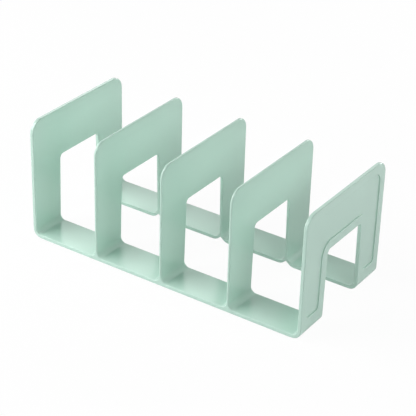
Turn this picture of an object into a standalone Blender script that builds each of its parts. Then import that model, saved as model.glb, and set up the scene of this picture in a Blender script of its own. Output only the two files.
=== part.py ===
"""Desktop book rack: arched upright walls standing on a front and a rear floor rail.

Metres, +Z up. The origin is on the ground under the middle of the rack. X runs along
the rack, from the left end to the right end, and the front faces -Y.
"""
import math

import bmesh
import bpy

# Driving sizes of the whole rack
bay_count = 4
bay_width = 0.0794
rack_depth = 0.152
rack_height = 0.1357
top_corner_radius = 0.015

# Walls and floor
divider_thickness = 0.003
end_thickness = 0.0042
floor_thickness = 0.004
divider_fillet_radius = 0.0065
end_fillet_radius = 0.006
end_bend_radius = 0.010

# Window, open at the bottom, so that each wall stands on two legs.
# A leg grows deeper with height, by this share of the height.
leg_depth = 0.0412
leg_lean_share = 0.0265
window_height = 0.0817
window_corner_radius = 0.005

# Groove under each divider, closed towards the outside of the rack.
# Each side leaves the ground level, curves up to the slope and runs straight to the ridge.
groove_half_width = 0.010
groove_height = 0.0054
groove_slope = math.radians(42)
groove_skin = 0.003

# Recessed panel on the outer face of each end
recess_depth = 0.0012
recess_border = 0.010
recess_base_height = 0.0207
recess_top_radius = 0.012
recess_base_radius = 0.0035

# Half-lap joints between the walls' feet and the floor strips
foot_reach = 0.010
lap_length = 0.006
joint_gap = 0.0003

# Rounded edges
outer_edge_radius = 0.001
window_edge_radius = 0.0006

# How finely curves are divided
corner_steps = 6
edge_steps = 2

# One overrun serves all cutters, and lengths below the tolerance count as equal
overrun = 0.002
tolerance = 0.00001

# Derived sizes
half_depth = rack_depth / 2
tongue_height = (floor_thickness - joint_gap) / 2
full_turn = 2 * math.pi
smooth_angle = math.radians(35)
sharp_angle = math.radians(40)

mint_green = (0.447, 0.680, 0.552, 1.0)
plastic_roughness = 0.38


def remove_everything():
    for old_object in list(bpy.data.objects):
        bpy.data.objects.remove(old_object, do_unlink=True)


def rounded_outline(corners):
    """Points of a closed outline, from corners (a, b, radius) joined by straight lines."""
    points = []
    for index, (a, b, radius) in enumerate(corners):
        before = corners[index - 1]
        after = corners[(index + 1) % len(corners)]
        if radius == 0:
            points.append((a, b))
            continue
        towards_before = math.atan2(before[1] - b, before[0] - a)
        towards_after = math.atan2(after[1] - b, after[0] - a)
        opening = (towards_after - towards_before) % full_turn
        left_turn = opening > math.pi
        if left_turn:
            opening = full_turn - opening
        reach = radius / math.sin(opening / 2)
        middle = towards_before + (-opening / 2 if left_turn else opening / 2)
        centre_a = a + reach * math.cos(middle)
        centre_b = b + reach * math.sin(middle)
        sweep = math.pi - opening
        start = middle + math.pi + (-sweep / 2 if left_turn else sweep / 2)
        direction = 1 if left_turn else -1
        for step in range(corner_steps + 1):
            angle = start + direction * sweep * step / corner_steps
            points.append((centre_a + radius * math.cos(angle), centre_b + radius * math.sin(angle)))
    return points


def prism(name, outline, axis, low, high):
    """A closed solid: an outline pulled straight along X or Y, from low to high."""
    shape = bmesh.new()
    if axis == "X":
        first = [shape.verts.new((low, a, b)) for a, b in outline]
        pull = (high - low, 0, 0)
    else:
        first = [shape.verts.new((a, low, b)) for a, b in outline]
        pull = (0, high - low, 0)
    face = shape.faces.new(first)
    pulled = bmesh.ops.extrude_face_region(shape, geom=[face])
    moved = [item for item in pulled["geom"] if isinstance(item, bmesh.types.BMVert)]
    bmesh.ops.translate(shape, verts=moved, vec=pull)
    bmesh.ops.recalc_face_normals(shape, faces=shape.faces)
    mesh = bpy.data.meshes.new(name)
    shape.to_mesh(mesh)
    shape.free()
    solid = bpy.data.objects.new(name, mesh)
    bpy.context.collection.objects.link(solid)
    return solid


def cut(solid, cutter, operation):
    """Combine a solid with a cutter and keep the result as the solid's own mesh."""
    modifier = solid.modifiers.new("cut", "BOOLEAN")
    modifier.operation = operation
    modifier.object = cutter
    evaluated = solid.evaluated_get(bpy.context.evaluated_depsgraph_get())
    result = bpy.data.meshes.new_from_object(evaluated)
    solid.modifiers.clear()
    solid.data = result
    bpy.data.objects.remove(cutter, do_unlink=True)


def round_edges(solid, radius, wanted):
    """Round the sharp outward edges for which wanted(start, end) is true."""
    shape = bmesh.new()
    shape.from_mesh(solid.data)
    edges = []
    for edge in shape.edges:
        if len(edge.link_faces) != 2 or edge.calc_face_angle_signed() < sharp_angle:
            continue
        if wanted(edge.verts[0].co, edge.verts[1].co):
            edges.append(edge)
    bmesh.ops.bevel(
        shape, geom=edges, offset=radius, offset_type="OFFSET", segments=edge_steps,
        profile=0.5, affect="EDGES", clamp_overlap=False, material=-1,
    )
    shape.to_mesh(solid.data)
    shape.free()


def leg_edge(height):
    """Depth of the leg, from the rack's outer face to the window, at a height."""
    return leg_depth + leg_lean_share * height


def arch_outline():
    """The wall seen from the side, with the window open at the bottom."""
    foot_edge = half_depth - leg_edge(-overrun)
    window_edge = half_depth - leg_edge(window_height)
    return rounded_outline([
        (-half_depth, -overrun, 0),
        (-half_depth, rack_height, top_corner_radius),
        (half_depth, rack_height, top_corner_radius),
        (half_depth, -overrun, 0),
        (foot_edge, -overrun, 0),
        (window_edge, window_height, window_corner_radius),
        (-window_edge, window_height, window_corner_radius),
        (-foot_edge, -overrun, 0),
    ])


def recess_outline():
    """The end's recessed panel: the arch moved in by the border, with a straight base."""
    outer = half_depth - recess_border
    top = rack_height - recess_border
    window_top = window_height + recess_border
    base_edge = half_depth - leg_edge(recess_base_height) + recess_border
    window_edge = half_depth - leg_edge(window_top) + recess_border
    inner_radius = window_corner_radius + recess_border
    return rounded_outline([
        (-outer, recess_base_height, recess_base_radius),
        (-outer, top, recess_top_radius),
        (outer, top, recess_top_radius),
        (outer, recess_base_height, recess_base_radius),
        (base_edge, recess_base_height, recess_base_radius),
        (window_edge, window_top, inner_radius),
        (-window_edge, window_top, inner_radius),
        (-base_edge, recess_base_height, recess_base_radius),
    ])


def groove_outline():
    """Two arcs that leave the ground level, and the straight flanks that meet in a ridge."""
    rise = groove_half_width * math.tan(groove_slope) - groove_height
    radius = rise / (1 / math.cos(groove_slope) - 1)
    rising = []
    for step in range(corner_steps + 1):
        angle = groove_slope * step / corner_steps
        across = groove_half_width - radius * math.sin(angle)
        rising.append((across, radius - radius * math.cos(angle)))
    falling = [(-across, up) for across, up in reversed(rising)]
    ridge = [(0, groove_height)]
    below = [(-groove_half_width, -overrun), (groove_half_width, -overrun)]
    return rising + ridge + falling + below


def in_front(start, end):
    """An edge of the front, top or rear of a wall, above the ground."""
    if min(start.z, end.z) < tolerance:
        return False
    return not in_window(start, end)


def in_window(start, end):
    """An edge round the window, above the ground."""
    for point in (start, end):
        window_side = half_depth - leg_edge(point.z) + tolerance
        if point.z < tolerance or point.z > window_height + tolerance or abs(point.y) > window_side:
            return False
    return True


def lap_cut(solid, wall_face, side):
    """Shape the end of a foot into the lower tongue. Side is 1 towards +X, -1 towards -X."""
    foot_end = wall_face + foot_reach
    tongue_end = foot_end + lap_length
    past_end = tongue_end + 2 * overrun
    outline = [
        (foot_end, tongue_height), (foot_end, floor_thickness + overrun),
        (past_end, floor_thickness + overrun), (past_end, -overrun),
        (tongue_end, -overrun), (tongue_end, tongue_height),
    ]
    outline = [(side * across, up) for across, up in outline]
    cut(solid, prism("lap_cutter", outline, "Y", -rack_depth, rack_depth), "DIFFERENCE")


def finish_mesh(solid, name):
    """Give the solid's mesh its name and shade its round faces smooth."""
    solid.data.name = name
    solid.data.shade_smooth()
    solid.data.set_sharp_from_angle(angle=smooth_angle)


def wall_from_profile(name, profile, reach):
    """A wall: its profile across the rack, cut to the arch seen from the side."""
    wall = prism(name, profile, "Y", -half_depth - overrun, half_depth + overrun)
    cut(wall, prism("arch", arch_outline(), "X", -reach, reach), "INTERSECT")
    round_edges(wall, outer_edge_radius, in_front)
    round_edges(wall, window_edge_radius, in_window)
    return wall


def divider_mesh():
    """An inner wall with a foot on both sides. X is zero in the middle of the wall."""
    face = divider_thickness / 2
    foot = face + foot_reach + lap_length + overrun
    above = rack_height + overrun
    profile = rounded_outline([
        (-face, above, 0), (face, above, 0),
        (face, floor_thickness, divider_fillet_radius),
        (foot, floor_thickness, 0), (foot, 0, 0), (-foot, 0, 0), (-foot, floor_thickness, 0),
        (-face, floor_thickness, divider_fillet_radius),
    ])
    wall = wall_from_profile("divider", profile, foot + overrun)
    groove_end = half_depth - groove_skin
    cut(wall, prism("groove", groove_outline(), "Y", -groove_end, groove_end), "DIFFERENCE")
    for side in (-1, 1):
        lap_cut(wall, face, side)
    finish_mesh(wall, "divider")
    return wall


def end_mesh():
    """The left end wall, with its foot towards +X. X is zero on its outer face."""
    foot = end_thickness + foot_reach + lap_length + overrun
    above = rack_height + overrun
    profile = rounded_outline([
        (0, above, 0), (end_thickness, above, 0),
        (end_thickness, floor_thickness, end_fillet_radius),
        (foot, floor_thickness, 0), (foot, 0, 0),
        (0, 0, end_bend_radius),
    ])
    wall = wall_from_profile("end", profile, foot + overrun)
    cut(wall, prism("recess", recess_outline(), "X", -overrun, recess_depth), "DIFFERENCE")
    lap_cut(wall, end_thickness, 1)
    finish_mesh(wall, "end")
    return wall


def floor_strip_mesh():
    """A strip of the front rail. X is zero in the middle of its bay, and Y at mid-depth."""
    upper = bay_width / 2 - foot_reach - joint_gap
    lower = upper - lap_length
    step = tongue_height + joint_gap
    outline = [
        (-lower, 0), (lower, 0), (lower, step), (upper, step),
        (upper, floor_thickness), (-upper, floor_thickness), (-upper, step), (-lower, step),
    ]
    strip = prism("floor_strip", outline, "Y", -half_depth, -half_depth + leg_depth)
    for vertex in strip.data.vertices:
        if vertex.co.y > -half_depth + tolerance:
            vertex.co.y = -half_depth + leg_edge(vertex.co.z)

    def top_edge(start, end, inner):
        on_top = min(start.z, end.z) > floor_thickness - tolerance
        lengthways = abs(start.x - end.x) > lap_length
        is_inner = start.y > -half_depth + tolerance
        return on_top and lengthways and is_inner == inner

    round_edges(strip, outer_edge_radius, lambda start, end: top_edge(start, end, False))
    round_edges(strip, window_edge_radius, lambda start, end: top_edge(start, end, True))
    finish_mesh(strip, "floor_strip")
    return strip


def plastic(name):
    """Semi-gloss mint green plastic."""
    material = bpy.data.materials.new(name)
    material.use_nodes = True
    shader = material.node_tree.nodes["Principled BSDF"]
    shader.inputs["Base Color"].default_value = mint_green
    shader.inputs["Roughness"].default_value = plastic_roughness
    shader.inputs["Metallic"].default_value = 0
    material.diffuse_color = mint_green
    return material


def place(name, pattern, rack, across, half_turn):
    """Put a sub-part at its place along the rack, with the mesh of its pattern."""
    piece = bpy.data.objects.new(name, pattern.data)
    bpy.context.collection.objects.link(piece)
    piece.parent = rack
    piece.location = (across, 0, 0)
    piece.rotation_euler = (0, 0, math.pi if half_turn else 0)
    if not piece.data.materials:
        piece.data.materials.append(None)
    piece.material_slots[0].link = "OBJECT"
    piece.material_slots[0].material = plastic(name + "_plastic")
    return piece


def build_rack():
    remove_everything()
    rack = bpy.data.objects.new("book_rack", None)
    bpy.context.collection.objects.link(rack)

    bay_pitch = bay_width + divider_thickness
    half_inside = (bay_count * bay_pitch - divider_thickness) / 2
    half_length = half_inside + end_thickness

    end = end_mesh()
    place("left_end_upright", end, rack, -half_length, False)
    place("right_end_upright", end, rack, half_length, True)
    bpy.data.objects.remove(end, do_unlink=True)

    divider = divider_mesh()
    for number in range(1, bay_count):
        across = -half_inside + number * bay_pitch - divider_thickness / 2
        place("divider_upright_%d" % number, divider, rack, across, False)
    bpy.data.objects.remove(divider, do_unlink=True)

    strip = floor_strip_mesh()
    for number in range(1, bay_count + 1):
        across = -half_inside + (number - 1) * bay_pitch + bay_width / 2
        place("front_floor_%d" % number, strip, rack, across, False)
        place("rear_floor_%d" % number, strip, rack, across, True)
    bpy.data.objects.remove(strip, do_unlink=True)


build_rack()
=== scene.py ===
import math

import bmesh
import bpy
from mathutils import Matrix, Vector


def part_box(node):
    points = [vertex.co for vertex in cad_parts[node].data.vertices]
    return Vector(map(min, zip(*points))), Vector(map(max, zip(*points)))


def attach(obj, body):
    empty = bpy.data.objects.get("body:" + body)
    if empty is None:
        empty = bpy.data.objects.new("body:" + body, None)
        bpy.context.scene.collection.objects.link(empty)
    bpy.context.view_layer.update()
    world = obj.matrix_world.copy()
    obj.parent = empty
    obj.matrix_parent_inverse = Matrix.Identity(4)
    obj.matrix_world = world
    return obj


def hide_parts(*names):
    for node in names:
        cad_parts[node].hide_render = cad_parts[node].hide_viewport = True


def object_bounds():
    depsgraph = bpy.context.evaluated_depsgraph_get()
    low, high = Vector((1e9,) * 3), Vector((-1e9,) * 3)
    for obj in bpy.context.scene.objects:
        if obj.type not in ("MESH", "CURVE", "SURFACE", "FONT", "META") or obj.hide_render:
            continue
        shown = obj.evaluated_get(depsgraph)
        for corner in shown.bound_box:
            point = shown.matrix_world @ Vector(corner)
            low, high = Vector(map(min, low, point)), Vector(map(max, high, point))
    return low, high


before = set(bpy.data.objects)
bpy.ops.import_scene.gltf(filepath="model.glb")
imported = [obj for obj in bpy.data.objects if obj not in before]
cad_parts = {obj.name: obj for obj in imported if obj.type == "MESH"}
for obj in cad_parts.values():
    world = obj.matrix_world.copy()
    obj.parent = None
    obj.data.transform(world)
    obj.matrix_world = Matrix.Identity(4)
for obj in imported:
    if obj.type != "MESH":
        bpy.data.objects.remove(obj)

cad_low, cad_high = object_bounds()

# Floor rails
# Flat strips of mint-green plastic, one in each bay of the front rail and of the rear rail.
# They are moulded in one shot with the walls, so their ends run on into the walls' feet
# without a seam, and only their long edges are round.
half_length, half_depth, wall_height = cad_high
bay_count = 4
leg_depth = 0.0412
leg_widening = 0.0265
outer_round = 0.0010
window_round = 0.0006
ground_round = 0.0004
widest_round = 0.0015
corner_steps = 12
round_steps = 5
sharp_bend = math.radians(35)
crease_bend = math.radians(30)
flat_face_weight = 100
half_turn = Matrix.Rotation(math.pi, 4, "Z")

# An outline that is cut off later runs past the cut by the overrun. Two places less than a
# hair apart are the same place.
overrun = 0.003
hair = 0.00001


def leg_edge(height):
    """How deep a rail or a leg is at a height, from the rack's outer face to the window."""
    return leg_depth + leg_widening * height


def pulled_outline(name, corners, axis, low, high):
    """A solid pulled along X or Y from a few corners (a, b, radius), which are then rounded."""
    shape = bmesh.new()
    for a, b, _ in corners:
        shape.verts.new((low, a, b) if axis == "X" else (a, low, b))
    shape.faces.new(shape.verts)
    shape.verts.ensure_lookup_table()
    rounded = [(shape.verts[i], corner[2]) for i, corner in enumerate(corners) if corner[2]]
    for vertex, radius in rounded:
        first, second = [edge.other_vert(vertex).co - vertex.co for edge in vertex.link_edges]
        reach = radius / math.tan(first.angle(second) / 2)
        bmesh.ops.bevel(
            shape, geom=[vertex], offset=reach, offset_type="OFFSET",
            segments=corner_steps, profile=0.5, affect="VERTICES", clamp_overlap=False,
            material=-1,
        )
    pull = Vector((high - low, 0, 0)) if axis == "X" else Vector((0, high - low, 0))
    pulled = bmesh.ops.extrude_face_region(shape, geom=shape.faces[:])
    moved = [part for part in pulled["geom"] if isinstance(part, bmesh.types.BMVert)]
    bmesh.ops.translate(shape, verts=moved, vec=pull)
    bmesh.ops.recalc_face_normals(shape, faces=shape.faces)
    mesh = bpy.data.meshes.new(name)
    shape.to_mesh(mesh)
    shape.free()
    solid = bpy.data.objects.new(name, mesh)
    bpy.context.scene.collection.objects.link(solid)
    return solid


def round_edges(solid, edge_radius):
    """Round every sharp outward edge; edge_radius(start, end) gives the radius of each."""
    shape = bmesh.new()
    shape.from_mesh(solid.data)
    weight = shape.edges.layers.float.new("bevel_weight_edge")
    for edge in shape.edges:
        if len(edge.link_faces) == 2 and edge.calc_face_angle_signed() > sharp_bend:
            edge[weight] = edge_radius(edge.verts[0].co, edge.verts[1].co) / widest_round
    shape.to_mesh(solid.data)
    shape.free()
    bevel = solid.modifiers.new("rounded edges", "BEVEL")
    bevel.limit_method = "WEIGHT"
    bevel.width = widest_round
    bevel.segments = round_steps
    bevel.profile = 0.5
    bevel.use_clamp_overlap = False
    evaluated = solid.evaluated_get(bpy.context.evaluated_depsgraph_get())
    rounded = bpy.data.meshes.new_from_object(evaluated)
    solid.modifiers.clear()
    solid.data = rounded


def cut_and_smooth(solid, seams):
    """Cut the ends off square at the seams (place, side), and shade the round edges smooth."""
    shape = bmesh.new()
    shape.from_mesh(solid.data)
    for place, side in seams:
        cut = bmesh.ops.bisect_plane(
            shape, geom=shape.verts[:] + shape.edges[:] + shape.faces[:], dist=hair,
            plane_co=(place, 0, 0), plane_no=(side, 0, 0), clear_outer=True,
        )
        rim = [part for part in cut["geom_cut"] if isinstance(part, bmesh.types.BMEdge)]
        bmesh.ops.edgeloop_fill(shape, edges=rim)
    bmesh.ops.recalc_face_normals(shape, faces=shape.faces)
    shape.to_mesh(solid.data)
    shape.free()
    solid.data.shade_smooth()
    solid.data.set_sharp_from_angle(angle=crease_bend)
    flatten = solid.modifiers.new("flat faces", "WEIGHTED_NORMAL")
    flatten.mode = "FACE_AREA"
    flatten.weight = flat_face_weight
    flatten.keep_sharp = True


mint_shade = (0.503, 0.703, 0.613, 1)
mint_tint = (0.525, 0.725, 0.635, 1)
mottle_per_metre = 22
smoothest = 0.15
roughest = 0.21
gloss_patches_per_metre = 60
noise_low = 0.3
noise_high = 0.7
wave_height = 0.00005
waves_per_metre = 30
grain_height = 0.000004
grains_per_metre = 1500


def mint_plastic():
    """Satin mint-green plastic: a faint flow mottle, uneven gloss and a fine mould grain."""
    plastic = bpy.data.materials.new("mint_plastic")
    plastic.use_nodes = True
    nodes = plastic.node_tree.nodes
    link = plastic.node_tree.links.new
    shader = nodes["Principled BSDF"]
    place = nodes.new("ShaderNodeTexCoord").outputs["Object"]

    def noise(per_metre, octaves):
        texture = nodes.new("ShaderNodeTexNoise")
        texture.inputs["Scale"].default_value = per_metre
        texture.inputs["Detail"].default_value = octaves
        link(place, texture.inputs["Vector"])
        return texture.outputs["Fac"]

    # A mix node has sockets of one name for each kind of data, so these go by number.
    share, first_colour, second_colour, mixed_colour = 0, 6, 7, 2
    mottle = nodes.new("ShaderNodeMix")
    mottle.data_type = "RGBA"
    mottle.inputs[first_colour].default_value = mint_shade
    mottle.inputs[second_colour].default_value = mint_tint
    link(noise(mottle_per_metre, octaves=3), mottle.inputs[share])
    link(mottle.outputs[mixed_colour], shader.inputs["Base Color"])

    gloss = nodes.new("ShaderNodeMapRange")
    gloss.inputs["From Min"].default_value = noise_low
    gloss.inputs["From Max"].default_value = noise_high
    gloss.inputs["To Min"].default_value = smoothest
    gloss.inputs["To Max"].default_value = roughest
    link(noise(gloss_patches_per_metre, octaves=4), gloss.inputs["Value"])
    link(gloss.outputs["Result"], shader.inputs["Roughness"])

    waves = nodes.new("ShaderNodeBump")
    waves.inputs["Distance"].default_value = wave_height
    link(noise(waves_per_metre, octaves=1), waves.inputs["Height"])
    grain = nodes.new("ShaderNodeBump")
    grain.inputs["Distance"].default_value = grain_height
    link(noise(grains_per_metre, octaves=2), grain.inputs["Height"])
    link(waves.outputs["Normal"], grain.inputs["Normal"])
    link(grain.outputs["Normal"], shader.inputs["Normal"])
    return plastic


plastic = mint_plastic()


def dress(piece, node):
    """Give a piece its plastic, and let it ride the rack and stand for its CAD node."""
    piece.data.materials.clear()
    piece.data.materials.append(plastic)
    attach(piece, "root")
    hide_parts(node)


def rail_edge_radius(start, end):
    """The radius of a strip's edge: on the ground, along the window side, or outside."""
    if max(start.z, end.z) < hair:
        return ground_round
    if start.y > -half_depth + hair:
        return window_round
    return outer_round


def floor_strip(name, node, behind):
    """A strip as long as its node. The rear rail is the front one turned half a turn."""
    low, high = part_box(node)
    half_strip = (high.x - low.x) / 2
    thickness = high.z
    strip = pulled_outline(name, [
        (-half_depth, 0, 0),
        (-half_depth, thickness, 0),
        (-half_depth + leg_edge(thickness), thickness, 0),
        (-half_depth + leg_edge(0), 0, 0),
    ], "X", -half_strip - overrun, half_strip + overrun)
    round_edges(strip, rail_edge_radius)
    cut_and_smooth(strip, [(-half_strip, -1), (half_strip, 1)])
    if behind:
        strip.data.transform(half_turn)
    strip.data.transform(Matrix.Translation(((low.x + high.x) / 2, 0, 0)))
    dress(strip, node)


for number in range(1, bay_count + 1):
    floor_strip("front_rail_%d" % number, "front_floor_%d" % number, False)
    floor_strip("rear_rail_%d" % number, "rear_floor_%d" % number, True)

# Dividers
# The three inner walls, each an arch on two legs, thinner than the ends and with a round
# nose. They grow out of the floor rails with a soft fillet on both sides, and the mould
# leaves a pointed groove under each, so that the plastic there is no thicker than elsewhere.
floor_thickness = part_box("front_floor_1")[1].z
end_thickness = 0.0042
divider_thickness = 0.003
divider_fillet = 0.0065
foot_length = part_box("front_floor_1")[0].x + half_length - end_thickness
top_corner = 0.015
window_height = 0.0817
window_corner = 0.005
nose_round = 0.0014
groove_half_width = 0.010
groove_height = 0.0054
groove_skin = 0.003
groove_slope = math.radians(42)


def carve(solid, cutter, operation):
    """Combine a solid with a cutter, and keep the result as the solid's own mesh."""
    modifier = solid.modifiers.new("carve", "BOOLEAN")
    modifier.operation = operation
    modifier.object = cutter
    evaluated = solid.evaluated_get(bpy.context.evaluated_depsgraph_get())
    carved = bpy.data.meshes.new_from_object(evaluated)
    solid.modifiers.clear()
    solid.data = carved
    bpy.data.objects.remove(cutter, do_unlink=True)


def arch_cutter(reach):
    """The shape of every wall seen from the side, with the window open at the bottom."""
    foot_edge = half_depth - leg_edge(-overrun)
    window_edge = half_depth - leg_edge(window_height)
    return pulled_outline("arch_cutter", [
        (-half_depth, -overrun, 0),
        (-half_depth, wall_height, top_corner),
        (half_depth, wall_height, top_corner),
        (half_depth, -overrun, 0),
        (foot_edge, -overrun, 0),
        (window_edge, window_height, window_corner),
        (-window_edge, window_height, window_corner),
        (-foot_edge, -overrun, 0),
    ], "X", -reach, reach)


def at_window(point):
    """Whether a point lies on the edge of the window."""
    window_side = half_depth - leg_edge(point.z)
    return point.z < window_height + hair and abs(point.y) < window_side + hair


def groove_cutter(side):
    """Half of the groove: level at the side, curving up, then straight to the ridge."""
    groove_end = half_depth - groove_skin
    rise = groove_half_width * math.tan(groove_slope) - groove_height
    radius = rise / (1 / math.cos(groove_slope) - 1)
    shape = bmesh.new()
    start = shape.verts.new((side * groove_half_width, -groove_end, 0))
    bmesh.ops.spin(
        shape, geom=[start], cent=(side * groove_half_width, -groove_end, radius),
        axis=(0, 1, 0), angle=side * groove_slope, steps=corner_steps, use_merge=False,
    )
    for across, up in ((0, groove_height), (0, -overrun), (side * groove_half_width, -overrun)):
        shape.verts.new((across, -groove_end, up))
    shape.faces.new(shape.verts)
    pulled = bmesh.ops.extrude_face_region(shape, geom=shape.faces[:])
    moved = [part for part in pulled["geom"] if isinstance(part, bmesh.types.BMVert)]
    bmesh.ops.translate(shape, verts=moved, vec=(0, 2 * groove_end, 0))
    bmesh.ops.recalc_face_normals(shape, faces=shape.faces)
    mesh = bpy.data.meshes.new("groove_cutter")
    shape.to_mesh(mesh)
    shape.free()
    cutter = bpy.data.objects.new("groove_cutter", mesh)
    bpy.context.scene.collection.objects.link(cutter)
    return cutter


def divider_edge_radius(start, end):
    """The radius of a divider's edge: on the ground, on the nose, in the groove or window."""
    if max(start.z, end.z) < hair:
        return ground_round
    if not (at_window(start) and at_window(end)):
        return nose_round
    in_groove = max(abs(start.x), abs(end.x)) < groove_half_width + hair
    if in_groove and max(start.z, end.z) < groove_height + hair:
        return ground_round
    return window_round


def divider_wall(name, node):
    """A wall with its filleted foot, pulled from front to rear and cut to the arch."""
    face = divider_thickness / 2
    foot = face + foot_length
    wall = pulled_outline(name, [
        (-face, wall_height + overrun, 0),
        (face, wall_height + overrun, 0),
        (face, floor_thickness, divider_fillet),
        (foot + overrun, floor_thickness, 0),
        (foot + overrun, 0, 0),
        (-foot - overrun, 0, 0),
        (-foot - overrun, floor_thickness, 0),
        (-face, floor_thickness, divider_fillet),
    ], "Y", -half_depth - overrun, half_depth + overrun)
    carve(wall, arch_cutter(foot + 2 * overrun), "INTERSECT")
    for side in (-1, 1):
        carve(wall, groove_cutter(side), "DIFFERENCE")
    round_edges(wall, divider_edge_radius)
    cut_and_smooth(wall, [(-foot, -1), (foot, 1)])
    low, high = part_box(node)
    wall.data.transform(Matrix.Translation(((low.x + high.x) / 2, 0, 0)))
    dress(wall, node)


for number in range(1, bay_count):
    divider_wall("divider_wall_%d" % number, "divider_upright_%d" % number)

# End walls
# The two outer walls. They are the same arch in thicker plastic, bent over into the rails at
# a round corner, and the mould presses a shallow panel into the outer face of each. The
# right end is the left one turned half a turn.
end_bend = 0.010
end_fillet = 0.006
panel_depth = 0.0012
panel_border = 0.010
panel_base = 0.0207
panel_top_corner = 0.012
panel_base_corner = 0.0035
panel_round = 0.0004


def panel_cutter():
    """The recessed panel: the arch moved in by the border, with a straight base."""
    outer = half_depth - panel_border
    window_top = window_height + panel_border
    base_edge = half_depth - leg_edge(panel_base) + panel_border
    window_edge = half_depth - leg_edge(window_top) + panel_border
    around_window = window_corner + panel_border
    return pulled_outline("panel_cutter", [
        (-outer, panel_base, panel_base_corner),
        (-outer, wall_height - panel_border, panel_top_corner),
        (outer, wall_height - panel_border, panel_top_corner),
        (outer, panel_base, panel_base_corner),
        (base_edge, panel_base, panel_base_corner),
        (window_edge, window_top, around_window),
        (-window_edge, window_top, around_window),
        (-base_edge, panel_base, panel_base_corner),
    ], "X", -overrun, panel_depth)


def end_edge_radius(start, end):
    """The radius of an end wall's edge: on the ground, window, panel or outside."""
    if max(start.z, end.z) < hair:
        return ground_round
    if at_window(start) and at_window(end):
        return window_round
    beside_panel = max(abs(start.y), abs(end.y)) < half_depth - panel_border + hair
    above_base = min(start.z, end.z) > panel_base - hair
    below_top = max(start.z, end.z) < wall_height - panel_border + hair
    if beside_panel and above_base and below_top:
        return panel_round
    return outer_round


def end_wall(name, node, on_right):
    """A wall bent over into its foot, cut to the arch, with the panel pressed in."""
    foot = end_thickness + foot_length
    wall = pulled_outline(name, [
        (0, wall_height + overrun, 0),
        (end_thickness, wall_height + overrun, 0),
        (end_thickness, floor_thickness, end_fillet),
        (foot + overrun, floor_thickness, 0),
        (foot + overrun, 0, 0),
        (0, 0, end_bend),
    ], "Y", -half_depth - overrun, half_depth + overrun)
    carve(wall, arch_cutter(foot + 2 * overrun), "INTERSECT")
    carve(wall, panel_cutter(), "DIFFERENCE")
    round_edges(wall, end_edge_radius)
    cut_and_smooth(wall, [(foot, 1)])
    wall.data.transform(Matrix.Translation((-half_length, 0, 0)))
    if on_right:
        wall.data.transform(half_turn)
    dress(wall, node)


end_wall("left_end_wall", "left_end_upright", False)
end_wall("right_end_wall", "right_end_upright", True)

# Studio floor
# A sheet of matt white paper under the rack. The camera sees it almost as pure white, with
# only a trace of the rack's shadow, and in gloss it looks a little whiter than it is lit.
paper_half_size = 3
paper_white = 0.9
paper_roughness = 0.9
paper_white_to_camera = 0.95
paper_white_in_gloss = 0.4
paper_mesh = bpy.data.meshes.new("studio_floor")
sheet = bmesh.new()
bmesh.ops.create_grid(sheet, x_segments=1, y_segments=1, size=paper_half_size)
sheet.to_mesh(paper_mesh)
sheet.free()
studio_floor = bpy.data.objects.new("studio_floor", paper_mesh)
bpy.context.scene.collection.objects.link(studio_floor)


def seen_white(tree, to_camera, in_gloss):
    """How much white a surface shows to the camera, and in gloss, metal or glass."""
    path = tree.nodes.new("ShaderNodeLightPath").outputs

    def combine(operation, first, second):
        both = tree.nodes.new("ShaderNodeMath")
        both.operation = operation
        for socket, value in zip(both.inputs, (first, second)):
            if isinstance(value, bpy.types.NodeSocket):
                tree.links.new(value, socket)
            else:
                socket.default_value = value
        return both.outputs["Value"]

    mirrored = combine("MAXIMUM", path["Is Glossy Ray"], path["Is Transmission Ray"])
    return combine(
        "MAXIMUM",
        combine("MULTIPLY", path["Is Camera Ray"], to_camera),
        combine("MULTIPLY", mirrored, in_gloss),
    )


paper = bpy.data.materials.new("white_paper")
paper.use_nodes = True
nodes = paper.node_tree.nodes
link = paper.node_tree.links.new
matt = nodes["Principled BSDF"]
matt.inputs["Base Color"].default_value = (paper_white, paper_white, paper_white, 1)
matt.inputs["Roughness"].default_value = paper_roughness
glow = nodes.new("ShaderNodeEmission")
blend = nodes.new("ShaderNodeMixShader")
white_share = seen_white(paper.node_tree, paper_white_to_camera, paper_white_in_gloss)
link(white_share, blend.inputs[0])
link(matt.outputs["BSDF"], blend.inputs[1])
link(glow.outputs["Emission"], blend.inputs[2])
link(blend.outputs["Shader"], nodes["Material Output"].inputs["Surface"])
paper.cycles.emission_sampling = "NONE"
paper_mesh.materials.append(paper)

# Studio light
# Soft boxes round the rack in a white room. Each box is aimed at the middle of the rack, and
# its place is given by its turn from the right and its rise, at one distance for them all.
# The room looks white to the camera and in gloss, and gives no light of its own.
middle = Vector((0, 0, wall_height / 2))
box_distance = 1.6


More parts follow.
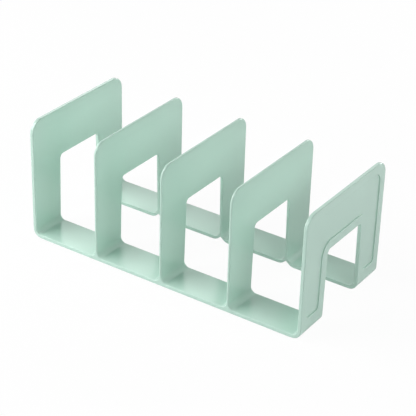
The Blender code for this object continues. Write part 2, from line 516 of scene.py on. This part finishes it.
def soft_box(name, turn, rise, width, height, brightness):
    """A lamp of one brightness over its face, in watts for each square metre and steradian."""
    lamp = bpy.data.lights.new(name, "AREA")
    lamp.shape = "RECTANGLE"
    lamp.size = width
    lamp.size_y = height
    lamp.energy = brightness * math.pi * width * height
    box = bpy.data.objects.new(name, lamp)
    bpy.context.scene.collection.objects.link(box)
    turn = math.radians(turn)
    rise = math.radians(rise)
    level = math.cos(rise)
    towards = Vector((math.cos(turn) * level, math.sin(turn) * level, math.sin(rise)))
    facing = towards.to_track_quat("Z", "Y").to_matrix().to_4x4()
    box.matrix_world = Matrix.Translation(middle + box_distance * towards) @ facing


soft_box("front_left_box", turn=215, rise=32, width=1.7, height=1.0, brightness=6.2)
soft_box("front_right_box", turn=345, rise=28, width=1.0, height=0.7, brightness=2.9)
soft_box("right_box", turn=0, rise=40, width=1.0, height=0.8, brightness=1.3)
soft_box("low_rear_box", turn=73, rise=13, width=1.05, height=0.5, brightness=7.4)
soft_box("rear_box", turn=95, rise=40, width=0.8, height=0.8, brightness=0.9)
soft_box("rear_left_panel", turn=130, rise=28, width=0.5, height=0.6, brightness=1.5)

room = bpy.data.worlds.new("white_room")
bpy.context.scene.world = room
room.use_nodes = True
room_light = room.node_tree.nodes["Background"]
room_light.inputs["Color"].default_value = (1, 1, 1, 1)
room_white = seen_white(room.node_tree, to_camera=1, in_gloss=1)
room.node_tree.links.new(room_white, room_light.inputs["Strength"])

# Camera
# It stands in front of the rack, to its right and well above it, and looks down at it with
# a long lens. Its place and its angles were fitted to the straight edges in the photo.
camera_place = Vector((0.7394, -1.1040, 0.8072))
camera_turn = math.radians(33.60)
camera_tilt = math.radians(29.457)
camera_roll = math.radians(1.642)
film_width = 36
lens_length = 127.13
nearest_sight = 0.01
camera_data = bpy.data.cameras.new("camera")
camera_data.sensor_width = film_width
camera_data.lens = lens_length
camera_data.clip_start = nearest_sight
camera = bpy.data.objects.new("camera", camera_data)
bpy.context.scene.collection.objects.link(camera)
camera.matrix_world = (
    Matrix.Translation(camera_place)
    @ Matrix.Rotation(camera_turn, 4, "Z")
    @ Matrix.Rotation(math.pi / 2 - camera_tilt, 4, "X")
    @ Matrix.Rotation(camera_roll, 4, "Z")
)
bpy.context.scene.camera = camera
bpy.context.scene.view_settings.view_transform = "Standard"
